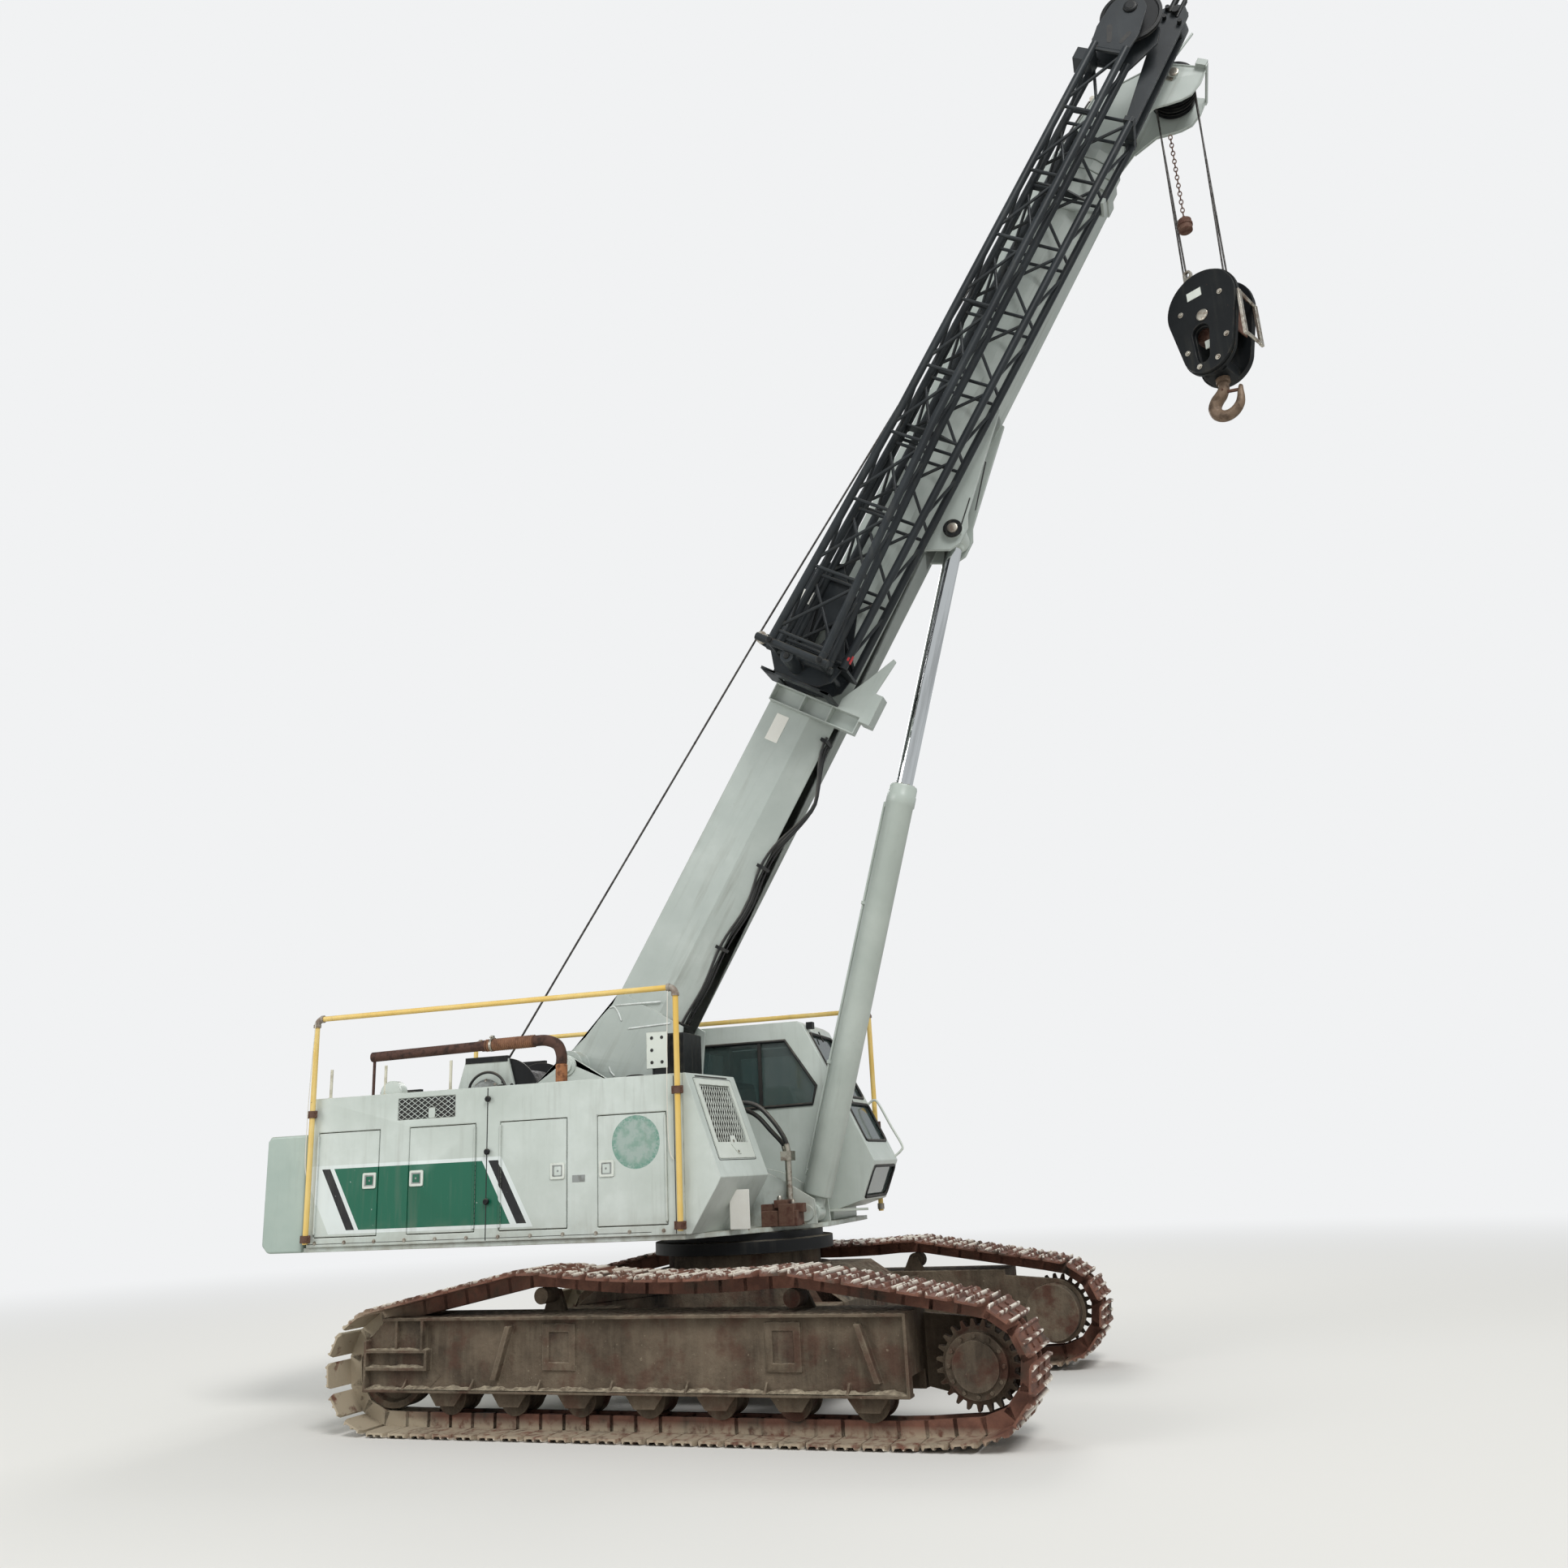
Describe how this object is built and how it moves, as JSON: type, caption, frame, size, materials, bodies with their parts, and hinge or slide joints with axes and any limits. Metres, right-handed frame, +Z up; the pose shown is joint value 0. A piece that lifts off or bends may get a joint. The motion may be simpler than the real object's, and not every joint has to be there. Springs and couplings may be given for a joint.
{
  "type": "telescopic boom crawler crane",
  "caption": "Tracked crane with a telescopic boom raised on one lift cylinder, a lattice jib stowed beside it, an operator's cab, an engine house and a hook block.",
  "frame": {"origin": "on the ground under the middle of the whole crane's box", "axes": "+X forward along the boom, +Y to the left, +Z up"},
  "size_m": [8.9949, 4.2543, 11.993],
  "materials": {
    "paint": "faded gloss paint",
    "pale_paint": "satin paint",
    "mud_frame": "mud over worn paint",
    "rust_track": "rusty, worn bright on the grousers",
    "black_steel": "worn black paint",
    "jib_paint": "charcoal paint",
    "exhaust_rust": "rust",
    "drum_steel": "wire rope and worn steel",
    "yellow_pipe": "chipped yellow paint",
    "glass": "tinted",
    "seat": "matte",
    "chrome": "polished",
    "rope": "greased wire",
    "hook_steel": "forged, brown"
  },
  "bodies": {
    "undercarriage": {"carbody": "mud_frame", "slew_ring": "black_steel", "track_frame_left": "mud_frame", "track_frame_right": "mud_frame", "track_left": "rust_track", "track_right": "rust_track", "sprocket_left": "mud_frame", "sprocket_right": "mud_frame", "idler_left": "mud_frame", "idler_right": "mud_frame", "rollers_left": "rust_track", "rollers_right": "rust_track"},
    "upper": {"deck": "paint", "counterweight": "pale_paint", "engine_house": "paint", "tank_house": "paint", "engine": "black_steel", "nose_cowl": "paint", "oil_cooler": "black_steel", "exhaust": "exhaust_rust", "winch_frames": "paint", "rail_right": "yellow_pipe", "rail_left": "yellow_pipe", "cab_shell": "paint", "cab_glass": "glass", "operator_seat": "seat"},
    "main_drum": {"main_drum": "drum_steel"},
    "second_drum": {"second_drum": "drum_steel"},
    "cab_door": {"cab_door": "paint", "cab_door_glass": "glass"},
    "service_door_1": {"service_door_1": "paint"},
    "service_door_2": {"service_door_2": "paint"},
    "service_door_3": {"service_door_3": "paint"},
    "service_door_4": {"service_door_4": "paint"},
    "boom_base": {"boom_base": "paint", "cable_reel": "black_steel", "jib_carrier": "paint", "jib": "jib_paint"},
    "boom_middle_1": {"boom_middle_1": "paint"},
    "boom_middle_2": {"boom_middle_2": "paint"},
    "boom_tip": {"boom_tip": "paint", "head_sheaves": "black_steel"},
    "lift_rod": {"lift_rod": "chrome"},
    "lift_barrel": {"lift_barrel": "paint"},
    "hook_line": {"hoist_ropes": "rope"},
    "hook_block": {"hook_block": "black_steel"},
    "hook": {"hook": "hook_steel"}
  },
  "joints": [
    {"name": "swing", "type": "hinge", "parent": "undercarriage", "child": "upper", "pos_m": [-0.697, 0, 1.2], "axis": [0, 0, 1], "continuous": true},
    {"name": "luff", "type": "hinge", "parent": "upper", "child": "boom_base", "pos_m": [-2.107, 0, 2.68], "axis": [0, -1, 0], "range_deg": [-59, 17]},
    {"name": "telescope", "type": "slide", "parent": "boom_base", "child": "boom_middle_1", "axis": [0.515, 0, 0.8572], "range_m": [0, 6.7]},
    {"name": "telescope_2", "type": "slide", "parent": "boom_middle_1", "child": "boom_middle_2", "axis": [0.515, 0, 0.8572], "range_m": [0, 6.7]},
    {"name": "telescope_3", "type": "slide", "parent": "boom_middle_2", "child": "boom_tip", "axis": [0.515, 0, 0.8572], "range_m": [0, 6.7]},
    {"name": "fall_turn", "type": "hinge", "parent": "boom_tip", "child": "hook_line", "pos_m": [4.1235, 0, 11.55231], "axis": [0, -1, 0], "range_deg": [-17.5, 59.5]},
    {"name": "hoist", "type": "slide", "parent": "hook_line", "child": "hook_block", "axis": [0, 0, -1], "range_m": [-0.4, 7.5], "deforming": ["hoist_ropes"]},
    {"name": "hook_swivel", "type": "hinge", "parent": "hook_block", "child": "hook", "pos_m": [4.1235, 0, 8.83931], "axis": [0, 0, 1], "continuous": true},
    {"name": "lift_turn", "type": "hinge", "parent": "boom_base", "child": "lift_rod", "pos_m": [1.61998, 0, 7.24208], "axis": [0, -1, 0], "range_deg": [-9, 3.5]},
    {"name": "lift_slide", "type": "slide", "parent": "lift_rod", "child": "lift_barrel", "axis": [-0.2787, 0, -0.9604], "range_m": [-2.3, 0.68]},
    {"name": "main_winch", "type": "hinge", "parent": "upper", "child": "main_drum", "pos_m": [-2.777, 0, 2.47], "axis": [0, 1, 0], "continuous": true},
    {"name": "second_winch", "type": "hinge", "parent": "upper", "child": "second_drum", "pos_m": [-3.647, 0, 2.23], "axis": [0, 1, 0], "continuous": true},
    {"name": "cab_door_swing", "type": "hinge", "parent": "upper", "child": "cab_door", "pos_m": [-1.167, 1.262, 2], "axis": [0, 0, 1], "range_deg": [0, 90]},
    {"name": "service_door_1_swing", "type": "hinge", "parent": "upper", "child": "service_door_1", "pos_m": [-3.987, -1.277, 1.8], "axis": [0, 0, -1], "range_deg": [0, 90]},
    {"name": "service_door_2_swing", "type": "hinge", "parent": "upper", "child": "service_door_2", "pos_m": [-2.517, -1.277, 1.8], "axis": [0, 0, 1], "range_deg": [0, 90]},
    {"name": "service_door_3_swing", "type": "hinge", "parent": "upper", "child": "service_door_3", "pos_m": [-2.287, -1.277, 1.8], "axis": [0, 0, -1], "range_deg": [0, 90]},
    {"name": "service_door_4_swing", "type": "hinge", "parent": "upper", "child": "service_door_4", "pos_m": [-0.867, -1.277, 1.8], "axis": [0, 0, 1], "range_deg": [0, 90]}
  ],
  "couplings": [
    {"joint": "telescope_2", "follows": "telescope", "ratio": 1},
    {"joint": "telescope_3", "follows": "telescope", "ratio": 1},
    {"joint": "fall_turn", "follows": "luff", "ratio": -1},
    {"joint": "lift_turn", "follows": "luff", "ratio": 0.13672},
    {"joint": "lift_slide", "follows": "luff", "m_per_rad": 2.2037}
  ]
}
